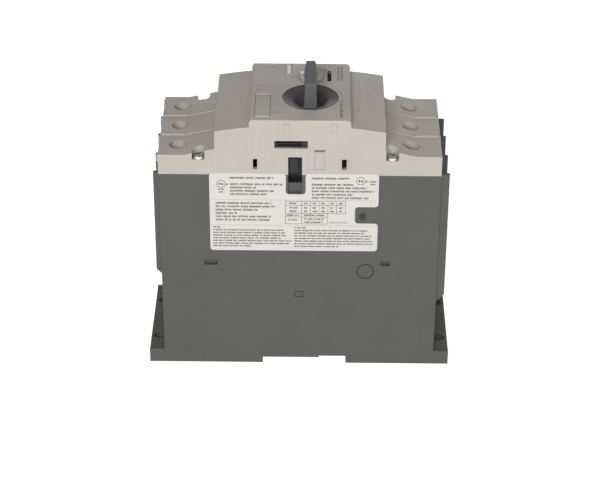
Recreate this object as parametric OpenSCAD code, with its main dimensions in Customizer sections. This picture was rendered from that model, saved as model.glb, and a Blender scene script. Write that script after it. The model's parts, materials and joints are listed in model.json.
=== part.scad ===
// Manual rotary motor starter, three poles, 63 A frame size.
// +Z points away from the mounting panel, +X to the line side, +Y across the poles.
// The origin is the centre of the footprint on the panel. Sizes are in millimetres.

/* [Housing] */
// Length over the two mounting flanges
overall_len = 140; // [139:0.5:143]
// Width across the three poles
body_w = 55; // [55:0.5:57]
// Distance from the middle to each end face of the body
body_end_x = 63; // [62.5:0.25:63.5]
// Height of the seam between the base and the middle housing
base_seam_z = 34.2; // [33:0.1:35]
// Height of the seam between the middle housing and the cover
cover_seam_z = 101.8; // [101.4:0.1:102.2]
// Thickness of the side walls of the housings
wall_t = 2.5; // [2:0.1:2.6]
// Thickness of the cover's walls
cover_t = 2.2; // [1.8:0.1:2.4]
// Thickness of the mounting flanges
flange_t = 7.1; // [5:0.1:8]

/* [Cover] */
// Height of the terminal shelf
shelf_z = 111.5; // [110.5:0.1:112]
// Height of the foot of the shoulder wall
slope_top_z = 114.7; // [113.5:0.1:116]
// Height of the shoulder at its outer edge
shoulder_z = 123.5; // [122.5:0.1:124]
// Height of the shoulder at the plateau wall
shoulder_top_z = 125.6; // [124.5:0.1:126]
// Height of the plateau that carries the handle
plateau_z = 129.3; // [129:0.1:129.6]
// Half the length of the plateau
plateau_x = 22.45; // [21.5:0.05:24]
// Half the length between the shoulder walls
shoulder_x = 37.8; // [37:0.1:38.5]
// Distance from the middle to the flat part of the shelf
shelf_flat_x = 52; // [51:0.5:53]

/* [Handle] */
// Height of the handle's top edge
handle_top_z = 141.5; // [139:0.5:146]
// Radius of the handle's dished skirt
dish_r = 12.5; // [12:0.1:12.6]
// Half the length of the grip
grip_half_len = 11.8; // [10.5:0.1:12]
// Width of the grip at its foot
grip_w = 5.7; // [5:0.1:6.5]

/* [Poles] */
// Distance between neighbouring poles
pole_pitch = 18; // [17.5:0.1:18]
// Radius of the screwdriver holes over the clamp screws
access_r = 3.9; // [3.8:0.1:4.2]
// Travel of a clamp cage from open to shut
clamp_travel = 5; // [3:0.5:5]

/* [Mounting] */
// Distance between flange hole centres along the body
hole_pitch_x = 132; // [131.5:0.1:132.5]
// Distance between flange hole centres across the body
hole_pitch_y = 30; // [28:0.5:36]
// Radius of the flange holes
hole_r = 2.65; // [2.1:0.05:2.75]

/* [Hidden] */
$fn = 48;

half_w = body_w / 2;
POLES = [-pole_pitch, 0, pole_pitch];
ENDS = [-1, 1];
eps = 0.01;

// Colours
dark_grey = [0.29, 0.29, 0.28];
mid_grey = [0.38, 0.38, 0.36];
warm_grey = [0.74, 0.71, 0.67];
label_white = [0.92, 0.91, 0.88];
black = [0.06, 0.06, 0.06];
steel = [0.72, 0.73, 0.74];
zinc = [0.8, 0.8, 0.78];
copper = [0.78, 0.48, 0.3];
brass = [0.8, 0.66, 0.35];
silver = [0.86, 0.86, 0.85];
cream = [0.85, 0.82, 0.72];
white = [0.93, 0.93, 0.91];

// Housing details
end_recess = 2;
end_inner_low = body_end_x - end_recess - wall_t;
end_inner_high = body_end_x - wall_t;
recess_half_w = half_w - 3;
recess_top_z = 47;
floor_z = 6.5;
outer_floor_z = 3;
notch_x = [-17, 21.9];
notch_step_x = 9.3;
notch_z = [3.1, 3.95];
partition_y = pole_pitch / 2;
partition_t = 2;
rib_reach = [2.4, 3.8];
rib_t = 2;
rib_foot_z = 51;
long_rib_foot_z = 38.5;
screw_x = [-45, 41];
screw_y = 24.7;
boss_z = 96.5;
pocket_z = 109.1;
pocket_r = 2.8;
base_screw_x = 52;
base_screw_y = 21.8;
thread_r = 1.5;

// Terminals
clamp_x = [-54.4, 49.6];
bar_z = [93, 95];
cage_half = [5, 6];
cage_z = [86.2, 98.5];
cage_wall = 1.2;
wire_window = [5.5, 87, 93.5];
clamp_head_z = [104.4, 107.6];
clamp_head_r = 3.5;
clamp_shank_r = 2.5;
run_gap = 0.08;

// Handle and dials
handle_at = [4.5, -5.3];
well_floor_z = 120;
well_floor_t = 1.6;
dish_floor_z = 124.8;
dish_gap = 0.1;
hub_r = 4;
dial_at = [4.5, 15.5];
dial_r = 5.4;
dial_top_z = 130.2;
tab_z = [129.7, 133.5];
tab_w = 3.6;
tab_head_y = -9.3;

// Switching mechanism
carrier_x = [5.5, 14.5];
carrier_z = [25, 47];
stem_at = [10, -5.3];
bridge_z = [31, 33];
tip_reach = 10.5;
tip_r = 2.2;
fixed_z = [40, 42];
coil_x = -21;
coil_z = 45.7;
trip_axis = [-28, 80];
toggle_axis = [-8, 84];
latch_axis = [-9, 90];
bimetal_x = -38.5;
frame_x = [-14, 22];
frame_y = [-16.5, 5.9];
frame_z = [72, 102.5];

// Near-face fittings
slide_window = [-5.2, 1, 92.4, 110.8];
socket_window = [-11.3, 3.5, 115.2, 119];
label_x = [-40.4, 35.3];
label_z = [62.1, 102.4];
label_t = 0.2;
label_sink = 0.05;

// A box between two opposite corners
module block(low, high) {
    translate(low) cube(high - low);
}

// A flat outline in the X-Z plane, drawn from y0 to y1
module slab_y(y0, y1) {
    translate([0, y1, 0]) rotate([90, 0, 0]) linear_extrude(y1 - y0) children();
}

// A round bar along Y, centred on a point of the X-Z plane
module bar_y(at, y0, y1, r) {
    translate([at.x, y0, at.y]) rotate([-90, 0, 0]) cylinder(r = r, h = y1 - y0);
}

// A rectangle with round corners, from square and round pieces
module round_rect(low, high, r) {
    translate(low + [r, 0]) square(high - low - [2 * r, 0]);
    translate(low + [0, r]) square(high - low - [0, 2 * r]);
    for (x = [low.x + r, high.x - r], y = [low.y + r, high.y - r]) {
        translate([x, y]) circle(r);
    }
}

// A thin frame-shaped outline
module outline(low, high, w) {
    difference() {
        translate(low) square(high - low);
        translate(low + [w, w]) square(high - low - [2 * w, 2 * w]);
    }
}

// A helix of round wire about the Z axis, starting at z = 0
module wire_helix(radius, wire_r, pitch, turns, steps = 12, sides = 6) {
    slope = pitch / (2 * PI * radius);
    rings = floor(steps * turns);
    points = [
        for (i = [0 : rings], k = [0 : sides - 1])
            let (
                a = 360 * i / steps,
                phi = 360 * k / sides,
                out = [cos(a), sin(a), 0],
                up = [sin(a) * slope, -cos(a) * slope, 1] / sqrt(1 + slope * slope)
            )
            radius * out + [0, 0, pitch * i / steps] + wire_r * (cos(phi) * out + sin(phi) * up)
    ];
    sides_faces = [
        for (i = [0 : rings - 1], k = [0 : sides - 1])
            let (n = (k + 1) % sides)
            [i * sides + k, i * sides + n, (i + 1) * sides + n, (i + 1) * sides + k]
    ];
    first = [for (k = [sides - 1 : -1 : 0]) k];
    last = [for (k = [0 : sides - 1]) rings * sides + k];
    polyhedron(points, concat(sides_faces, [first, last]));
}

// Three copies, one for each pole
module each_pole() {
    for (y = POLES) {
        translate([0, y, 0]) children();
    }
}

// Outline of the cover seen from the side; t moves every edge inwards
function cover_side(t) =
    let (slope = (slope_top_z - shelf_z) / (shelf_flat_x - shoulder_x))
    [
        [body_end_x - t, cover_seam_z - t],
        [body_end_x - t, shelf_z - t],
        [shelf_flat_x, shelf_z - t],
        [shoulder_x - t, slope_top_z - t + t * slope],
        [shoulder_x - t, shoulder_z - t],
        [26.5, shoulder_z + 1.7 - t],
        [plateau_x - t, shoulder_top_z - t],
        [plateau_x - t, plateau_z - 1.2 - t],
        [plateau_x - 0.95 - t, plateau_z - t]
    ];

module cover_outline(t) {
    right = cover_side(t);
    left = [for (i = [len(right) - 1 : -1 : 0]) [-right[i].x, right[i].y]];
    polygon(concat(right, left));
}

// The rating label's outline, grown by g on each side
module label_outline(g) {
    low = [label_x[0] - g, label_z[0] - g];
    high = [label_x[1] + g, label_z[1] + g];
    r = 1.5;
    difference() {
        union() {
            round_rect(low, [-6.2 + g, high.y], r);
            round_rect([2.6 - g, 85.4 - g], high, r);
            round_rect([2.6 - g, low.y], [high.x, 76.8 + g], r);
            translate([-20, low.y]) square([24.9 + g + r + 20, 91.8 + g + r - low.y]);
        }
        round_rect([-6.2 + g, 91.8 + g], [2.6 - g, 115], r);
        round_rect([24.9 + g, 76.8 + g], [50, 85.4 - g], r);
    }
}

module flange_holes() {
    for (x = ENDS, y = ENDS) {
        translate([x * hole_pitch_x / 2, y * hole_pitch_y / 2, -1]) {
            cylinder(r = hole_r, h = flange_t + 2);
        }
    }
}

module din_channel() {
    block([-49, -12.3, -1], [notch_x[0] + 1, 12.3, 2.9]);
    block([-49, -14.3, 0.9], [notch_x[0] + 1, 14.3, 2.3]);
    block([-60, -4, -1], [-48, 4, 2.6]);
}

module fixed_din_hook() {
    slab_y(-20, 20) {
        polygon([[notch_x[1] + 1, 0.4], [18.6, 0.9], [18.6, 1.9], [20, 2.2], [notch_x[1] + 1, 2.2]]);
    }
}

module base_housing() {
    color(mid_grey) {
        difference() {
            union() {
                difference() {
                    union() {
                        block([-body_end_x, -half_w, 0], [body_end_x, half_w, base_seam_z]);
                        block([-overall_len / 2, -half_w, 0], [overall_len / 2, half_w, flange_t]);
                    }
                    // Hollow inside, deeper outside the rail notch
                    block([-end_inner_low, wall_t - half_w, floor_z],
                          [end_inner_low, half_w - wall_t, base_seam_z + 1]);
                    for (x = [[32, end_inner_low], [-end_inner_low, -52]], y = [-18.5, 1.5]) {
                        block([x[0], y, outer_floor_z], [x[1], y + 17, floor_z + 1]);
                    }
                }
                for (y = ENDS) {
                    for (x = [[-end_inner_low, 3], [17, end_inner_low]]) {
                        block([x[0], y * partition_y - 1, outer_floor_z],
                              [x[1], y * partition_y + 1, base_seam_z]);
                    }
                }
                for (x = ENDS, y = ENDS) {
                    translate([x * base_screw_x, y * base_screw_y, outer_floor_z - 1]) {
                        cylinder(r = 4.2, h = base_seam_z - outer_floor_z + 1);
                    }
                }
            }
            // Recessed end walls leave room for the mounting screws' heads
            for (x = ENDS) {
                translate([x * (body_end_x - end_recess / 2 + 2), 0, 0]) {
                    block([-3, -recess_half_w, flange_t - 0.6], [3, recess_half_w, base_seam_z + 1]);
                }
                translate([x * (body_end_x + overall_len / 2 + 1) / 2, 0, 0]) {
                    block([-4, 1.5 - half_w, flange_t - 0.6], [4, half_w - 1.5, flange_t + 1]);
                }
            }
            flange_holes();
            // Rail notch
            block([notch_x[0], -half_w - 1, -1], [notch_x[1], half_w + 1, notch_z[0]]);
            block([notch_step_x, -half_w - 1, -1], [notch_x[1], half_w + 1, notch_z[1]]);
            din_channel();
            for (x = ENDS, y = ENDS) {
                translate([x * base_screw_x, y * base_screw_y, -1]) {
                    cylinder(r = 3.1, h = 4);
                    cylinder(r = thread_r + 0.1, h = base_seam_z + 2);
                }
            }
        }
        fixed_din_hook();
    }
}

module end_ribs() {
    for (s = ENDS, y = [-(half_w - 2), -partition_y, partition_y, half_w - 2]) {
        reach = s > 0 ? rib_reach[1] : rib_reach[0];
        foot_z = s > 0 && abs(y) > 20 ? long_rib_foot_z : rib_foot_z;
        slab_y(y - rib_t / 2, y + rib_t / 2) {
            polygon([
                [s * (body_end_x - 1), foot_z - reach],
                [s * body_end_x, foot_z - reach],
                [s * (body_end_x + reach), foot_z],
                [s * (body_end_x + reach), cover_seam_z],
                [s * (body_end_x - 1), cover_seam_z]
            ]);
        }
    }
}

module trip_bar_bosses() {
    for (s = ENDS) {
        difference() {
            translate([trip_axis.x, s * (half_w - wall_t - 1.3), trip_axis.y]) {
                block([-4, -1.4, -4], [4, 1.4, 4]);
            }
            bar_y(trip_axis, s * (half_w - wall_t - 1.4) - 1.5, s * (half_w - wall_t - 1.4) + 1.5,
                  2 + run_gap);
        }
    }
}

// Snap windows, knock-out ring and test square of one long face
module mid_face_marks(s) {
    y = s * half_w;
    block([-43.3, y - 1.6, 54.2], [-37.3, y + 1.6, 57]);
    block([37.1, y - 1.6, 54.2], [41.5, y + 1.6, 57]);
    difference() {
        bar_y([30.2, 51.2], y - 0.5, y + 0.5, 4);
        bar_y([30.2, 51.2], y - 1, y + 1, 3.5);
    }
    slab_y(y - 0.4, y + 0.4) outline([-2.2, 36.9], [1.8, 40.1], 0.4);
}

module mid_housing() {
    color(dark_grey) {
        difference() {
            union() {
                difference() {
                    block([-body_end_x, -half_w, base_seam_z], [body_end_x, half_w, cover_seam_z]);
                    block([-end_inner_low, wall_t - half_w, base_seam_z - 1],
                          [end_inner_low, half_w - wall_t, cover_seam_z + 1]);
                    block([-end_inner_high, wall_t - half_w, recess_top_z + 3],
                          [end_inner_high, half_w - wall_t, cover_seam_z + 1]);
                    for (x = ENDS) {
                        translate([x * (body_end_x - end_recess / 2 + 2), 0, 0]) {
                            block([-3, -recess_half_w, base_seam_z - 1],
                                  [3, recess_half_w, recess_top_z]);
                        }
                    }
                }
                end_ribs();
                // Walls between the poles
                for (y = [-partition_y, partition_y]) {
                    block([24, y - partition_t / 2, base_seam_z],
                          [end_inner_low + 0.5, y + partition_t / 2, cover_seam_z]);
                    block([-end_inner_low - 0.5, y - partition_t / 2, base_seam_z],
                          [-36, y + partition_t / 2, 70.5]);
                    for (x = ENDS) {
                        translate([x * 54, 0, 0]) {
                            block([-7, y - partition_t / 2, 60], [7, y + partition_t / 2, cover_seam_z]);
                        }
                    }
                }
                // Screw bosses
                for (x = screw_x, y = ENDS) {
                    translate([x, y * screw_y, boss_z]) cylinder(r = 2.7, h = cover_seam_z - boss_z);
                }
                for (x = ENDS, y = ENDS) {
                    translate([x * base_screw_x, y * base_screw_y, base_seam_z]) {
                        cylinder(r = 3.6, h = 16);
                    }
                }
                // Guides for the contact carrier
                for (x = [3.6, 14.9], y = [-half_w + 1, half_w - 4.1]) {
                    block([x, y, base_seam_z], [x + 1.5, y + 3.1, 60]);
                }
            }
            for (x = screw_x, y = ENDS) {
                translate([x, y * screw_y, boss_z + 1]) cylinder(r = thread_r + 0.1, h = 20);
            }
            for (x = ENDS, y = ENDS) {
                translate([x * base_screw_x, y * base_screw_y, base_seam_z - 1]) {
                    cylinder(r = thread_r + 0.1, h = 12);
                }
            }
            // Wire entries
            for (x = ENDS) {
                each_pole() {
                    translate([x * body_end_x, 0, 0]) {
                        block([-5, -wire_window[0], wire_window[1]], [5, wire_window[0], wire_window[2]]);
                    }
                }
            }
            for (s = ENDS) {
                mid_face_marks(s);
            }
            // Window of the release slide, with a shallow U-shaped surround
            block([slide_window[0], -half_w - 1, slide_window[2]],
                  [slide_window[1], -half_w + 1.2, cover_seam_z + 1]);
            block([slide_window[0], -half_w - 1, 97], [slide_window[1], -half_w + 4, cover_seam_z + 1]);
            slab_y(-half_w - 1, -half_w + label_sink + label_t) label_outline(0.1);
            bar_y([28.3, 80.5], -half_w - 1, -half_w + 0.4, 2);
        }
        trip_bar_bosses();
    }
}

module access_tubes(r, z0) {
    for (x = clamp_x) {
        each_pole() {
                translate([x, 0, z0]) cylinder(r = r, h = shelf_z + 4 - z0);
        }
    }
}

module cover_wells(grow) {
    top = grow > 0 ? plateau_z - 0.5 : plateau_z + 1;
    base_z = grow > 0 ? well_floor_z : well_floor_z + well_floor_t;
    dial_base_z = grow > 0 ? 122 : 123.5;
    translate([handle_at.x, handle_at.y, base_z]) {
        cylinder(r = dish_r + dish_gap + grow, h = top - base_z, $fn = 96);
    }
    translate([dial_at.x, dial_at.y, dial_base_z]) {
        cylinder(r = dial_r + 0.15 + (grow > 0 ? 1.1 : 0), h = top - dial_base_z);
    }
}

module cover_screw_pocket(x, s) {
    translate([x, s * screw_y, pocket_z]) {
        cylinder(r = pocket_r, h = 10);
        block([-pocket_r, s > 0 ? 0 : -6, 0], [pocket_r, s > 0 ? 6 : 0, 10]);
    }
}

module cover_ridges() {
    slope = (slope_top_z - shelf_z) / (shelf_flat_x - shoulder_x);
    for (s = ENDS, y = [-partition_y, partition_y]) {
        slab_y(y - 0.45, y + 0.45) {
            polygon([
                [s * (body_end_x - 0.8), shelf_z - 1],
                [s * (body_end_x - 0.8), shelf_z + 0.8],
                [s * shelf_flat_x, shelf_z + 0.8],
                [s * (shelf_flat_x - 0.8), shelf_z - 1]
            ]);
        }
        slab_y(y - 0.25, y + 0.25) {
            polygon([
                [s * (shelf_flat_x + 1), shelf_z - 1],
                [s * (shelf_flat_x + 1), shelf_z + 0.35],
                [s * shelf_flat_x, shelf_z + 0.35],
                [s * (shoulder_x - 0.5), slope_top_z + 0.35 + 0.5 * slope],
                [s * (shoulder_x - 0.5), slope_top_z - 1]
            ]);
        }
    }
    for (y = [-(half_w - 2), -partition_y, partition_y, half_w - 2]) {
        translate([-body_end_x, y, 0]) {
            block([-0.6, -rib_t / 2, shelf_z - 3.8], [1, rib_t / 2, shelf_z - 0.8]);
        }
    }
}

// Slits and knock-outs that both long faces share
module cover_face_cuts(s) {
    y = s * half_w;
    block([-20.8, y - 4, 104.5], [-18.9, y + 4, 109.8]);
    block([18.6, y - 4, 104.5], [20.8, y + 4, 109.8]);
    slab_y(y - 0.3, y + 0.3) {
        for (x = [-7.4, 13.7]) {
            difference() {
                outline([x, 123.2], [x + 2.9, 127.5], 0.35);
                translate([x + 0.35, 123]) square([2.2, 1]);
            }
        }
        outline([6.4, 104.4], [11.2, 114.5], 0.3);
    }
    block([6.5, y - 4, 113.5], [11.1, y + 4, 114.4]);
}

module plateau_marks() {
    // Pocket of the marker plate
    block([-20.2, -24.9, plateau_z - 0.9], [-13.2, -2.6, plateau_z + 1]);
    // Shallow dish around the setting dial
    translate([dial_at.x, dial_at.y, plateau_z - 0.6]) cylinder(r1 = 5.7, r2 = 8, h = 0.6 + eps);
    // Recess of the accessory clip
    difference() {
        block([-16.4, 23.7, plateau_z - 1.2], [-12.2, 26.5, plateau_z + 1]);
        block([-15.4, 23.7, plateau_z - 1.2], [-13.2, 26.1, plateau_z - 0.1]);
    }
    translate([-5.5, 24.2, plateau_z - 1.5]) cylinder(r = 0.45, h = 4, $fn = 24);
    // Slot of the test slide
    block([12, 10.2, plateau_z - 4], [13.8, 20, plateau_z + 1]);
    // Curved mark beside the handle
    translate([handle_at.x, handle_at.y, plateau_z - 0.35]) {
        intersection() {
            difference() {
                cylinder(r = 14.6, h = 2);
                translate([0, 0, -1]) cylinder(r = 13.9, h = 4);
            }
            linear_extrude(3) polygon([[0, 0], [20, -0.7], [20, 19.3]]);
        }
    }
}

module plateau_reliefs() {
    translate([-6.5, 0, plateau_z]) rotate([90, 0, 90]) linear_extrude(2) {
        polygon([[17, -0.5], [25, -0.5], [25, 1.3], [17, 0.1]]);
    }
    // Hooked fence behind the test slide
    translate([11.7, 21.2, plateau_z - 0.5]) {
        difference() {
            cylinder(r = 2, h = 1.5);
            translate([0, 0, -1]) cylinder(r = 1.2, h = 4);
            block([-3, -3, -1], [3, 0, 3]);
        }
    }
    block([9.7, 19.6, plateau_z - 0.5], [10.5, 21.2, plateau_z + 1]);
}

module shoulder_marks() {
    for (y = [12.5, 5.1, -7.1, -14.6]) {
        translate([33.1, y, shoulder_z - 3.5]) cylinder(r = 0.75, h = 7, $fn = 24);
    }
    translate([26.5, -10, shoulder_z + 0.6]) block([-0.5, -1, 0], [0.6, 1, 3]);
}

// A fine raised line across the right shoulder
module shoulder_line() {
    intersection() {
        slab_y(-half_w, half_w) cover_outline(-0.25);
        translate([0, 0, shoulder_z - 1]) linear_extrude(4) {
            polygon([[28.2, 24.1], [37.3, 20.9], [37.3, 21.3], [28.2, 24.5]]);
        }
    }
}

module front_cover() {
    color(warm_grey) {
        difference() {
            union() {
                difference() {
                    slab_y(-half_w, half_w) cover_outline(0);
                    slab_y(-half_w + cover_t, half_w - cover_t) cover_outline(cover_t);
                }
                intersection() {
                    slab_y(-half_w + 0.5, half_w - 0.5) cover_outline(0.3);
                    union() {
                        access_tubes(access_r + 1.4, 104.2);
                        cover_wells(1.6);
                        for (x = screw_x, s = ENDS) {
                            translate([x, s * screw_y, 0]) {
                                translate([0, 0, cover_seam_z]) cylinder(r = 2.7, h = 8);
                                block([-4.2, -4, pocket_z - 1.7], [4.2, 4, 115]);
                            }
                        }
                    }
                }
                cover_ridges();
                plateau_reliefs();
                shoulder_line();
            }
            access_tubes(access_r, 100);
            cover_wells(0);
            translate([handle_at.x, handle_at.y, 110]) cylinder(r = hub_r + run_gap, h = 12);
            translate([dial_at.x, dial_at.y, 115]) cylinder(r = 2 + run_gap, h = 10);
            for (x = screw_x, s = ENDS) {
                cover_screw_pocket(x, s);
                translate([x, s * screw_y, 100]) cylinder(r = thread_r + 0.1, h = 12);
            }
            for (s = ENDS) {
                cover_face_cuts(s);
            }
            plateau_marks();
            shoulder_marks();
            block([slide_window[0], -half_w - 1, 100],
                  [slide_window[1], -half_w + 4, slide_window[3]]);
            block([socket_window[0], -half_w - 1, socket_window[2]],
                  [socket_window[1], -half_w + 4, socket_window[3]]);
            slab_y(-half_w - 1, -half_w + label_sink + label_t) label_outline(0.1);
        }
    }
}

// A pan-head screw with a cross recess, standing on z = 0 and pointing down
module pan_screw(length, head_r, head_h) {
    difference() {
        union() {
            cylinder(r = head_r, h = head_h * 0.7);
            translate([0, 0, head_h * 0.7 - eps]) {
                cylinder(r1 = head_r, r2 = head_r * 0.75, h = head_h * 0.3);
            }
            translate([0, 0, -length]) cylinder(r = thread_r, h = length + eps);
        }
        for (a = [0, 90]) {
            rotate([0, 0, a]) block([-head_r * 0.6, -0.45, head_h - 1], [head_r * 0.6, 0.45, head_h + 1]);
        }
    }
}

module cover_screws() {
    color(zinc) {
        for (x = screw_x, s = ENDS) {
            translate([x, s * screw_y, pocket_z]) rotate([0, 0, 20]) pan_screw(10.4, 2.72, 1.9);
        }
    }
}

module housing_screws() {
    color(zinc) {
        for (x = ENDS, s = ENDS) {
            translate([x * base_screw_x, s * base_screw_y, 3]) {
                rotate([180, 0, 0]) pan_screw(39, 2.7, 2.2);
            }
        }
    }
}

module rating_label() {
    color(label_white) {
        slab_y(-half_w + label_sink, -half_w + label_sink + label_t) label_outline(0);
    }
}

module marker_plate() {
    color(warm_grey) {
        translate([-20, 0, plateau_z]) rotate([90, 0, 90]) linear_extrude(6.6) {
            polygon([
                [-24.7, -0.9], [-2.8, -0.9], [-2.8, -0.4], [-23.5, 0.45],
                [-23.5, 0.7], [-24.7, 0.7]
            ]);
        }
    }
}

module aux_socket() {
    color(black) {
        difference() {
            union() {
                block([socket_window[0] - 1.5, -half_w + cover_t, socket_window[2] - 1.5],
                      [socket_window[1] + 1.5, -half_w + cover_t + 4, socket_window[3] + 1]);
                block([socket_window[0] + 0.15, -half_w + 0.9, socket_window[2] + 0.15],
                      [socket_window[1] - 0.15, -half_w + cover_t + 1, socket_window[3] - 0.15]);
            }
            for (z = [116.1, 117.4]) {
                block([socket_window[0] + 1, -half_w, z], [socket_window[1] - 2.4, -half_w + 4, z + 0.7]);
            }
        }
    }
}

module slider_guide() {
    color(black) {
        difference() {
            block([-7.2, -half_w + wall_t, 91.5], [3, -half_w + wall_t + 4, 112.2]);
            block([slide_window[0], -half_w, slide_window[2]],
                  [slide_window[1], -half_w + wall_t + 2.8, slide_window[3]]);
        }
    }
}

module mechanism_frame() {
    color(steel) {
        difference() {
            union() {
                for (y = [frame_y[0], frame_y[1] - 1.5]) {
                    block([frame_x[0], y, frame_z[0]], [frame_x[1], y + 1.5, frame_z[1]]);
                }
                block([frame_x[0], frame_y[0], frame_z[1] - 1.5], [frame_x[1], frame_y[1], frame_z[1]]);
            }
            translate([handle_at.x, handle_at.y, frame_z[1] - 3]) cylinder(r = 3.2, h = 5);
            for (at = [toggle_axis, latch_axis]) {
                bar_y(at, frame_y[0] - 1, frame_y[1] + 1, thread_r);
            }
            block([6, frame_y[0] - 1, 78], [18, frame_y[1] + 1, 96]);
        }
    }
}

module mechanism_pins() {
    color(steel) {
        for (at = [toggle_axis, latch_axis]) {
            bar_y(at, frame_y[0] - 0.6, frame_y[1] + 0.6, thread_r);
        }
    }
}

// A line-side bar: clamp tongue, riser and fixed contact foot
module line_busbar() {
    color(copper) {
        block([36, -4, bar_z[0]], [55, 4, bar_z[1]]);
        block([36, -3.5, fixed_z[0]], [38, 3.5, bar_z[1]]);
        block([17.5, -3.5, fixed_z[0]], [38, 3.5, fixed_z[1]]);
    }
}

// A load-side bar: clamp tongue and riser down to the foot of the bimetal
module load_busbar() {
    color(copper) {
        block([-59.5, -4, bar_z[0]], [-44, 4, bar_z[1]]);
        block([-45.5, -3.5, fixed_z[0]], [-44, 3.5, bar_z[1]]);
        block([-45.5, -3.5, fixed_z[0]], [bimetal_x + 1, 3.5, fixed_z[1]]);
        block([-14, -3.5, fixed_z[0]], [3, 3.5, fixed_z[1]]);
    }
}

module fixed_contact_tips() {
    color(silver) {
        each_pole() {
            for (s = ENDS) {
                translate([stem_at.x + s * tip_reach, 0, fixed_z[0] - 1.2]) cylinder(r = tip_r, h = 1.2);
            }
        }
    }
}

module arc_chutes() {
    color(steel) {
        each_pole() {
            for (z = [12 : 5.5 : 34]) {
                difference() {
                    block([26, -6.5, z], [46, 6.5, z + 1]);
                    block([25, -2, z - 1], [32, 2, z + 2]);
                }
                difference() {
                    block([-26, -6.5, z], [-6, 6.5, z + 1]);
                    block([-12, -2, z - 1], [-5, 2, z + 2]);
                }
            }
        }
    }
}

module trip_coils() {
    color(copper) {
        each_pole() {
            translate([coil_x, 0, coil_z]) wire_helix(5.2, 1.1, 3, 6, 14, 8);
        }
    }
}

module coil_bobbins() {
    color(cream) {
        each_pole() {
            translate([coil_x, 0, 0]) {
                difference() {
                    union() {
                        translate([0, 0, 43]) cylinder(r = 3.8, h = 24.5);
                        translate([0, 0, 43]) cylinder(r = 6.8, h = 1.2);
                        translate([0, 0, 66.3]) cylinder(r = 6.8, h = 1.2);
                    }
                    translate([0, 0, 42]) cylinder(r = 2.8 + run_gap, h = 27);
                }
            }
        }
    }
}

module coil_yokes() {
    color(steel) {
        each_pole() {
            difference() {
                union() {
                    block([-30.5, -6.5, 67.5], [-15, 6.5, 69]);
                    block([-30.5, -6.5, 42.1], [-29, 6.5, 69]);
                    block([-30.5, -6.5, 42.1], [-15, 6.5, 43]);
                }
                translate([coil_x, 0, 60]) cylinder(r = 3, h = 12);
            }
        }
    }
}

module bimetal_strips() {
    color(brass) {
        each_pole() {
            block([bimetal_x, -3, fixed_z[1]], [bimetal_x + 1, 3, 77]);
        }
    }
}

module heater_windings() {
    color(steel) {
        each_pole() {
            translate([bimetal_x + 0.5, 0, 47]) wire_helix(4.2, 0.45, 2.6, 8, 12, 6);
        }
    }
}

module plunger_springs() {
    color(steel) {
        each_pole() {
            translate([coil_x, 0, 69.3]) wire_helix(3.35, 0.25, 1.1, 3, 12, 6);
        }
    }
}

module main_spring() {
    color(steel) {
        translate([17, -11, 74]) wire_helix(2.4, 0.45, 1.5, 16, 12, 6);
    }
}

module din_clip_spring() {
    color(steel) {
        // A flat serpentine strip behind the rail clip
        for (i = [0 : 14]) {
            block([-59.8 + 1.1 * i, -2.6, 0.6], [-59.45 + 1.1 * i, 2.6, 2.1]);
        }
        for (i = [0 : 13]) {
            end = i % 2 == 0 ? 2.25 : -2.6;
            block([-59.8 + 1.1 * i, end, 0.6], [-58.35 + 1.1 * i, end + 0.35, 2.1]);
        }
    }
}

// Grip seen from above: straight ends and bowed sides
function grip_plan(end_w, mid_w, half_len) =
    let (n = 6)
    [
        for (s = [1, -1], i = [0 : n])
            let (t = 2 * i / n - 1)
            [s * (end_w / 2 + (mid_w - end_w) / 2 * (1 - t * t)), s * t * half_len]
    ];

module grip() {
    hull() {
        translate([0, 0, handle_top_z - 0.5]) linear_extrude(0.5) {
            polygon(grip_plan(3.7, 5.3, grip_half_len - 0.2));
        }
        translate([0, 0, handle_top_z - 1.2]) linear_extrude(0.5) {
            polygon(grip_plan(4.2, 5.8, grip_half_len));
        }
        translate([0, 0, tab_z[1] + 0.6]) linear_extrude(0.5) {
            polygon(grip_plan(5.2, 5.8, grip_half_len));
        }
    }
    // Foot of the grip, which fills the dish from side to side
    intersection() {
        block([-grip_w / 2, -grip_half_len, dish_floor_z - 1], [grip_w / 2, grip_half_len, tab_z[1] + 1]);
        translate([0, 0, dish_floor_z - 2]) cylinder(r = dish_r - 0.35, h = 20, $fn = 96);
    }
}

module handle() {
    color(dark_grey) {
        translate([handle_at.x, handle_at.y, 0]) {
            difference() {
                union() {
                    rotate_extrude($fn = 96) {
                        polygon([
                            [0, 122], [dish_r - 1.2, 122], [dish_r, 123], [dish_r, plateau_z - 0.2],
                            [dish_r - 0.2, plateau_z - 0.1], [8, plateau_z - 1.3],
                            [5, dish_floor_z + 1], [4, dish_floor_z], [0, dish_floor_z]
                        ]);
                    }
                    translate([0, 0, 117]) cylinder(r = hub_r, h = 5.2);
                    grip();
                }
                // Slot of the padlock tab
                block([-tab_w / 2 - 0.3, -grip_half_len - 2, tab_z[0] - 0.2],
                      [tab_w / 2 + 0.3, 4, tab_z[1] + 0.2]);
                block([-4, -grip_half_len - 2, tab_z[0] - 0.2], [4, tab_head_y + 0.2, tab_z[1] + 0.2]);
                // Socket of the shaft
                block([-2, -2, 116], [2, 2, 119.5]);
            }
        }
    }
}

module lock_tab() {
    color(mid_grey) {
        translate([handle_at.x, handle_at.y, 0]) {
            difference() {
                union() {
                    block([-tab_w / 2, -grip_half_len, tab_z[0]], [tab_w / 2, 3, tab_z[1]]);
                    block([-2.7, -grip_half_len, tab_z[0]], [2.7, tab_head_y, tab_z[1]]);
                }
                translate([-5, tab_head_y + 2.6, 131.6]) rotate([0, 90, 0]) cylinder(r = 1.3, h = 10);
            }
        }
    }
}

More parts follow.
